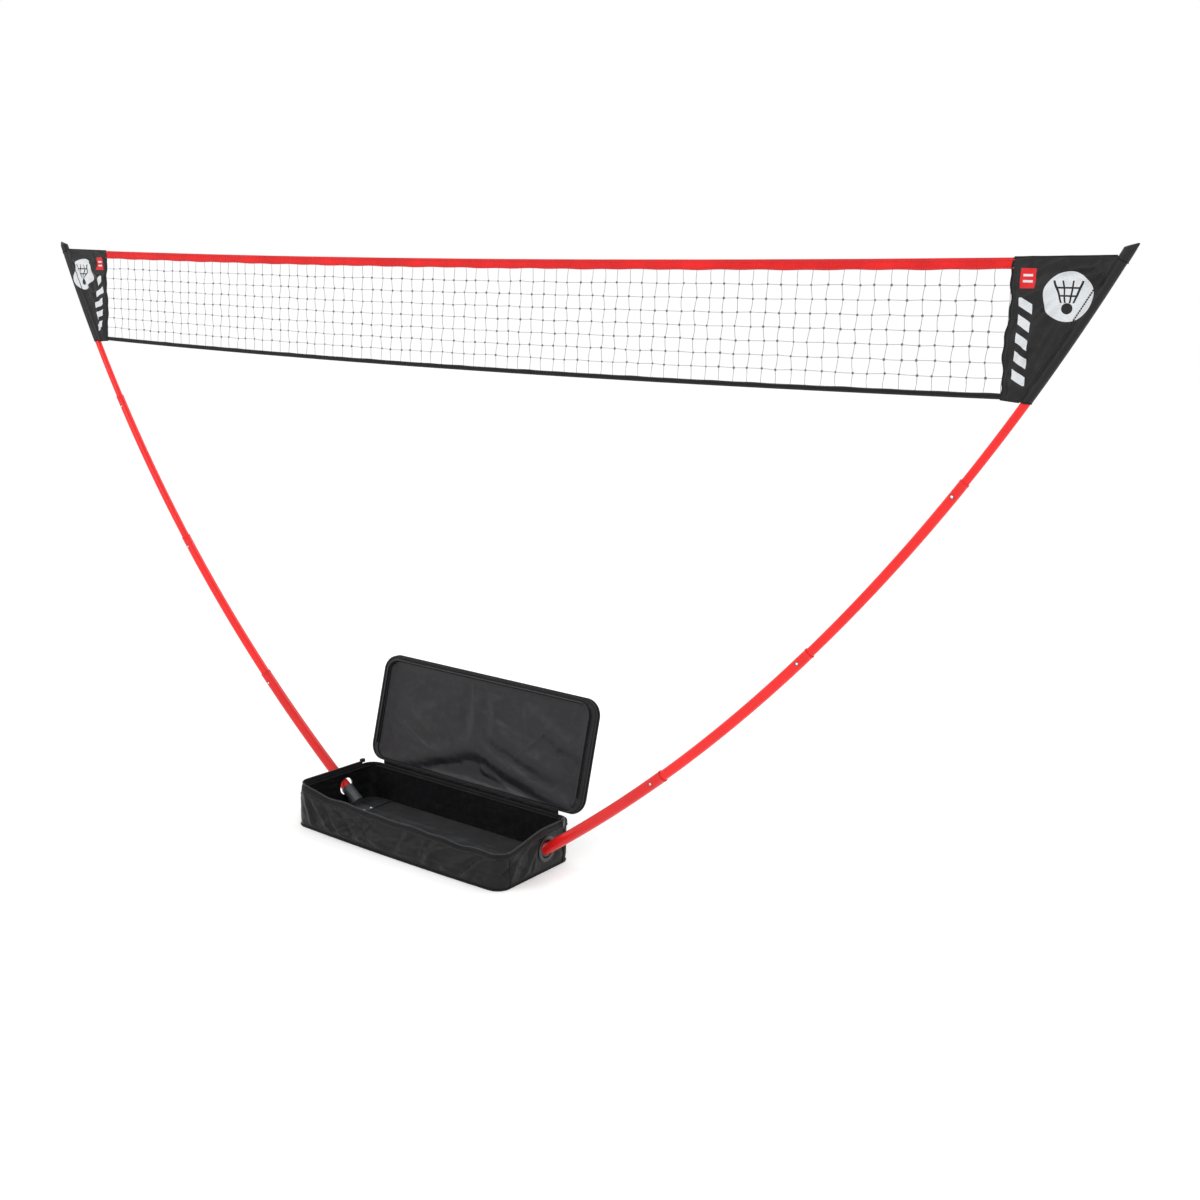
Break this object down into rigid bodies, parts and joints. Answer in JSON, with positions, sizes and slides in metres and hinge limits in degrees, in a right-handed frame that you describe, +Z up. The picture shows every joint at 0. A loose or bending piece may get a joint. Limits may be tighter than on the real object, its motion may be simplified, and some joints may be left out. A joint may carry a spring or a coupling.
{
  "type": "portable badminton net",
  "caption": "Free-standing badminton net whose zipped carry case is its base, with two bent telescopic poles, taped netting and corner sleeves.",
  "frame": {"origin": "on the ground under the case, in the net's plane, midway between the poles", "axes": "+X along the net, +Y from the case's front to the lid's hinge, +Z up"},
  "size_m": [3.208, 0.3774, 1.5374],
  "materials": {
    "pole_red": "gloss red powder coat",
    "bright_steel": "bright zinc plate",
    "zip_metal": "plated die casting",
    "black_plastic": "moulded, fine texture",
    "grey_plastic": "moulded glass-filled nylon",
    "frame_steel": "satin black paint",
    "board": "extruded stiffening sheet",
    "zip_black": "nylon coil zip",
    "net_twine": "thin knotted polyethylene twine",
    "red_webbing": "plain woven tape",
    "black_webbing": "plain woven tape",
    "sleeve_nylon": "coated plain-weave nylon",
    "binding_tape": "folded bias tape",
    "lining_nylon": "coated nylon lining with creases",
    "case_nylon": "coated plain-weave nylon"
  },
  "bodies": {
    "case": {"bottom_panel": "case_nylon", "front_wall": "case_nylon", "back_wall": "case_nylon", "left_wall": "case_nylon", "right_wall": "case_nylon", "rim_binding": "binding_tape", "zip_chain_base": "zip_black", "base_board": "board", "base_frame": "frame_steel", "left_socket": "grey_plastic", "right_socket": "grey_plastic", "socket_rivets": "bright_steel", "left_grommet": "black_plastic", "right_grommet": "black_plastic", "hinge_strip": "case_nylon", "hinge_cord": "binding_tape", "left_base_tube": "pole_red", "right_base_tube": "pole_red", "left_base_plug": "black_plastic", "right_base_plug": "black_plastic"},
    "lid": {"lid_panel": "case_nylon", "lid_board": "board", "lid_lining": "lining_nylon", "lid_rim": "case_nylon", "lid_binding": "binding_tape", "zip_chain_lid": "zip_black", "hinge_flap": "case_nylon"},
    "net": {"net_mesh": "net_twine", "top_tape": "red_webbing", "bottom_tape": "black_webbing", "left_sleeve": "sleeve_nylon", "right_sleeve": "sleeve_nylon"},
    "left_zip_slider": {"left_slider": "zip_metal"},
    "left_zip_pull": {"left_pull": "zip_metal"},
    "left_lower": {"left_lower_tube": "pole_red", "left_lower_spring": "bright_steel"},
    "left_lower_snap": {"left_lower_button": "bright_steel"},
    "left_middle": {"left_middle_tube": "pole_red", "left_middle_spring": "bright_steel"},
    "left_middle_snap": {"left_middle_button": "bright_steel"},
    "left_tip": {"left_tip_tube": "pole_red", "left_tip_spring": "bright_steel", "left_tip_cap": "black_plastic"},
    "left_tip_snap": {"left_tip_button": "bright_steel"},
    "right_zip_slider": {"right_slider": "zip_metal"},
    "right_zip_pull": {"right_pull": "zip_metal"},
    "right_lower": {"right_lower_tube": "pole_red", "right_lower_spring": "bright_steel"},
    "right_lower_snap": {"right_lower_button": "bright_steel"},
    "right_middle": {"right_middle_tube": "pole_red", "right_middle_spring": "bright_steel"},
    "right_middle_snap": {"right_middle_button": "bright_steel"},
    "right_tip": {"right_tip_tube": "pole_red", "right_tip_spring": "bright_steel", "right_tip_cap": "black_plastic"},
    "right_tip_snap": {"right_tip_button": "bright_steel"}
  },
  "joints": [
    {"name": "lid_hinge", "type": "hinge", "parent": "case", "child": "lid", "pos_m": [0, 0.10525, 0.1205], "axis": [-1, 0, 0], "range_deg": [-102, 48]},
    {"name": "net_lift", "type": "slide", "parent": "case", "child": "net", "axis": [0, 0, 1], "range_m": [0, 0.6], "deforming": ["left_sleeve", "right_sleeve"]},
    {"name": "left_slider_run", "type": "slide", "parent": "case", "child": "left_zip_slider", "axis": [0, -1, 0], "range_m": [0, 0.19]},
    {"name": "left_pull_swing", "type": "hinge", "parent": "left_zip_slider", "child": "left_zip_pull", "pos_m": [-0.3576, 0.063, 0.1205], "axis": [0, 1, 0], "range_deg": [0, 150]},
    {"name": "left_lower_slide", "type": "hinge", "parent": "case", "child": "left_lower", "pos_m": [2.07425, 0, 3.36431], "axis": [0, -1, 0], "range_deg": [0, 5.59]},
    {"name": "left_lower_press", "type": "slide", "parent": "case", "child": "left_lower_snap", "axis": [0, -1, 0], "range_m": [-0.0025, 0], "stiffness_N_per_m": 400},
    {"name": "left_middle_slide", "type": "hinge", "parent": "left_lower", "child": "left_middle", "pos_m": [2.07425, 0, 3.36431], "axis": [0, -1, 0], "range_deg": [0, 6.36]},
    {"name": "left_middle_press", "type": "slide", "parent": "left_lower", "child": "left_middle_snap", "axis": [0, -1, 0], "range_m": [-0.0025, 0], "stiffness_N_per_m": 400},
    {"name": "left_tip_slide", "type": "hinge", "parent": "left_middle", "child": "left_tip", "pos_m": [2.07425, 0, 3.36431], "axis": [0, -1, 0], "range_deg": [0, 6.36]},
    {"name": "left_tip_press", "type": "slide", "parent": "left_middle", "child": "left_tip_snap", "axis": [0, -1, 0], "range_m": [-0.0025, 0], "stiffness_N_per_m": 400},
    {"name": "right_slider_run", "type": "slide", "parent": "case", "child": "right_zip_slider", "axis": [0, -1, 0], "range_m": [0, 0.19]},
    {"name": "right_pull_swing", "type": "hinge", "parent": "right_zip_slider", "child": "right_zip_pull", "pos_m": [0.3576, 0.063, 0.1205], "axis": [0, -1, 0], "range_deg": [0, 150]},
    {"name": "right_lower_slide", "type": "hinge", "parent": "case", "child": "right_lower", "pos_m": [-2.07425, 0, 3.36431], "axis": [0, 1, 0], "range_deg": [0, 5.59]},
    {"name": "right_lower_press", "type": "slide", "parent": "case", "child": "right_lower_snap", "axis": [0, -1, 0], "range_m": [-0.0025, 0], "stiffness_N_per_m": 400},
    {"name": "right_middle_slide", "type": "hinge", "parent": "right_lower", "child": "right_middle", "pos_m": [-2.07425, 0, 3.36431], "axis": [0, 1, 0], "range_deg": [0, 6.36]},
    {"name": "right_middle_press", "type": "slide", "parent": "right_lower", "child": "right_middle_snap", "axis": [0, -1, 0], "range_m": [-0.0025, 0], "stiffness_N_per_m": 400},
    {"name": "right_tip_slide", "type": "hinge", "parent": "right_middle", "child": "right_tip", "pos_m": [-2.07425, 0, 3.36431], "axis": [0, 1, 0], "range_deg": [0, 6.36]},
    {"name": "right_tip_press", "type": "slide", "parent": "right_middle", "child": "right_tip_snap", "axis": [0, -1, 0], "range_m": [-0.0025, 0], "stiffness_N_per_m": 400}
  ]
}
